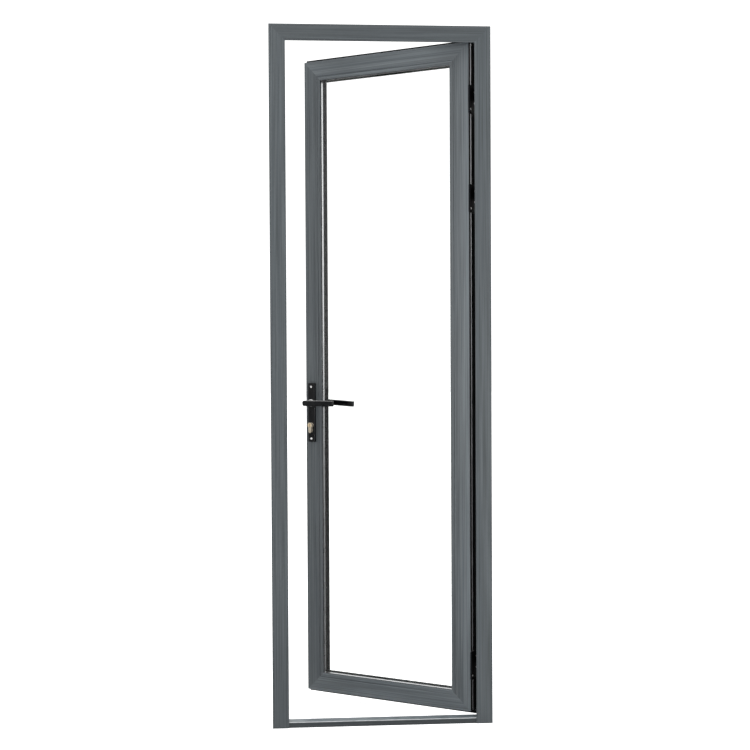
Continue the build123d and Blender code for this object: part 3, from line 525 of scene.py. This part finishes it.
# ---------------------------------------------------------------- stage
def seen_or_through(nt, sky=False):
    """1 for what the eye sees, straight or through glass, and 1 for what is mirrored on the way.
    The sky counts one bounce more than a surface does."""
    path = nt.nodes.new("ShaderNodeLightPath")
    off = node(nt, "ShaderNodeMath", operation="SUBTRACT")
    nt.links.new(path.outputs["Ray Depth"], off.inputs[0])
    nt.links.new(path.outputs["Transmission Depth"], off.inputs[1])
    straight = node(nt, "ShaderNodeMath", operation="LESS_THAN")
    straight.inputs[1].default_value = 1.5 if sky else 0.5
    nt.links.new(off.outputs[0], straight.inputs[0])
    if sky:
        through = node(nt, "ShaderNodeMath", operation="MULTIPLY")
        nt.links.new(straight.outputs[0], through.inputs[0])
        nt.links.new(path.outputs["Is Transmission Ray"], through.inputs[1])
        straight = node(nt, "ShaderNodeMath", operation="MAXIMUM")
        nt.links.new(through.outputs[0], straight.inputs[0])
        nt.links.new(path.outputs["Is Camera Ray"], straight.inputs[1])
    mirrored = node(nt, "ShaderNodeMath", operation="GREATER_THAN")
    mirrored.inputs[1].default_value = 0.5
    nt.links.new(path.outputs["Glossy Depth"], mirrored.inputs[0])
    return straight.outputs[0], mirrored.outputs[0]


def floor_plane(name, size):
    """A wide pale floor that runs out to white."""
    bm = bmesh.new()
    bmesh.ops.create_grid(bm, x_segments=1, y_segments=1, size=size / 2)
    me = bpy.data.meshes.new(name)
    bm.to_mesh(me)
    bm.free()
    o = bpy.data.objects.new(name, me)
    bpy.context.scene.collection.objects.link(o)
    m, nt, bsdf = material(name + "_paint")
    v = place(nt)
    nt.links.new(ramp(nt, noise(nt, v, 2.0, 2.0), [(0.3, (0.845, 0.85, 0.85)), (0.7, (0.85, 0.855, 0.855))]), bsdf.inputs["Base Color"])
    bsdf.inputs["Roughness"].default_value = 0.9
    bsdf.inputs["Specular IOR Level"].default_value = 0.0
    glow = node(nt, "ShaderNodeEmission")
    glow.inputs["Strength"].default_value = 0.72
    add = node(nt, "ShaderNodeAddShader")
    nt.links.new(bsdf.outputs[0], add.inputs[0])
    nt.links.new(glow.outputs[0], add.inputs[1])
    dim = node(nt, "ShaderNodeBsdfDiffuse")
    dim.inputs["Color"].default_value = (0.16, 0.16, 0.16, 1)
    seen, gloss = seen_or_through(nt)
    one = node(nt, "ShaderNodeMixShader")
    nt.links.new(gloss, one.inputs[0])
    nt.links.new(bsdf.outputs[0], one.inputs[1])
    nt.links.new(dim.outputs[0], one.inputs[2])
    two = node(nt, "ShaderNodeMixShader")
    nt.links.new(seen, two.inputs[0])
    nt.links.new(one.outputs[0], two.inputs[1])
    nt.links.new(add.outputs[0], two.inputs[2])
    nt.links.new(two.outputs[0], nt.nodes["Material Output"].inputs["Surface"])
    o.data.materials.append(m)
    return o


floor_plane("floor", 60.0)

# A white surround to the eye. As light: a bright backdrop beyond the door, bright overhead, dim behind the camera.
world = bpy.data.worlds.new("studio")
bpy.context.scene.world = world
world.use_nodes = True
wt = world.node_tree
soft = wt.nodes["Background"]
soft.inputs["Color"].default_value = (1, 1, 1, 1)
aim = wt.nodes.new("ShaderNodeTexCoord")
parts = wt.nodes.new("ShaderNodeSeparateXYZ")
wt.links.new(aim.outputs["Generated"], parts.inputs[0])
beyond = remap(wt, parts.outputs["Y"], -0.25, 0.25, 0.42, 1.15)
overhead = remap(wt, parts.outputs["Z"], 0.10, 0.85, 0.0, 1.30)
level = wt.nodes.new("ShaderNodeMath")
level.operation = "MAXIMUM"
wt.links.new(beyond, level.inputs[0])
wt.links.new(overhead, level.inputs[1])
wt.links.new(level.outputs[0], soft.inputs["Strength"])
bright = wt.nodes.new("ShaderNodeBackground")
bright.inputs["Color"].default_value = (1, 1, 1, 1)
bright.inputs["Strength"].default_value = 1.35
both = wt.nodes.new("ShaderNodeMixShader")
wt.links.new(seen_or_through(wt, sky=True)[0], both.inputs[0])
wt.links.new(soft.outputs[0], both.inputs[1])
wt.links.new(bright.outputs[0], both.inputs[2])
wt.links.new(both.outputs[0], wt.nodes["World Output"].inputs["Surface"])


def area(name, at, aim, size, power, color=(1, 1, 1)):
    light = bpy.data.lights.new(name, "AREA")
    light.shape = "RECTANGLE"
    light.size, light.size_y = size
    light.energy = power
    light.color = color
    o = bpy.data.objects.new(name, light)
    o.location = at
    o.rotation_euler = (Vector(aim) - Vector(at)).to_track_quat("-Z", "Y").to_euler()
    bpy.context.scene.collection.objects.link(o)
    return o


area("overhead", (0.0, -0.8, 4.2), (0.0, 0.1, 0.0), (3.6, 3.6), 60)
area("key", (-2.6, -3.4, 1.9), (-0.1, 0, 1.1), (1.8, 2.2), 42)
area("fill", (2.5, -3.2, 0.6), (0.2, 0, 0.6), (1.6, 1.4), 50)

# ---------------------------------------------------------------- camera, from the photograph's own edges
YAW, PITCH, ROLL = math.radians(-4.1676), math.radians(-1.1315), math.radians(-0.2901)
ahead = Vector((-math.sin(YAW), math.cos(YAW), 0))
right = Vector((math.cos(YAW), math.sin(YAW), 0))
look = math.cos(PITCH) * ahead + math.sin(PITCH) * UP
top = -math.sin(PITCH) * ahead + math.cos(PITCH) * UP
cam_x = math.cos(ROLL) * right + math.sin(ROLL) * top
cam_y = -math.sin(ROLL) * right + math.cos(ROLL) * top
cam_data = bpy.data.cameras.new("camera")
cam_data.sensor_width = 36.0
cam_data.lens = 62.253
cam_data.clip_end = 200.0
cam = bpy.data.objects.new("camera", cam_data)
bpy.context.scene.collection.objects.link(cam)
m4 = Matrix((cam_x, cam_y, -look)).transposed().to_4x4()
m4.translation = Vector((-0.3023, -3.89129, 1.13335))
cam.matrix_world = m4
bpy.context.scene.camera = cam

bpy.context.scene.view_settings.view_transform = "Standard"
bpy.context.scene.view_settings.look = "None"

bpy.context.view_layer.update()
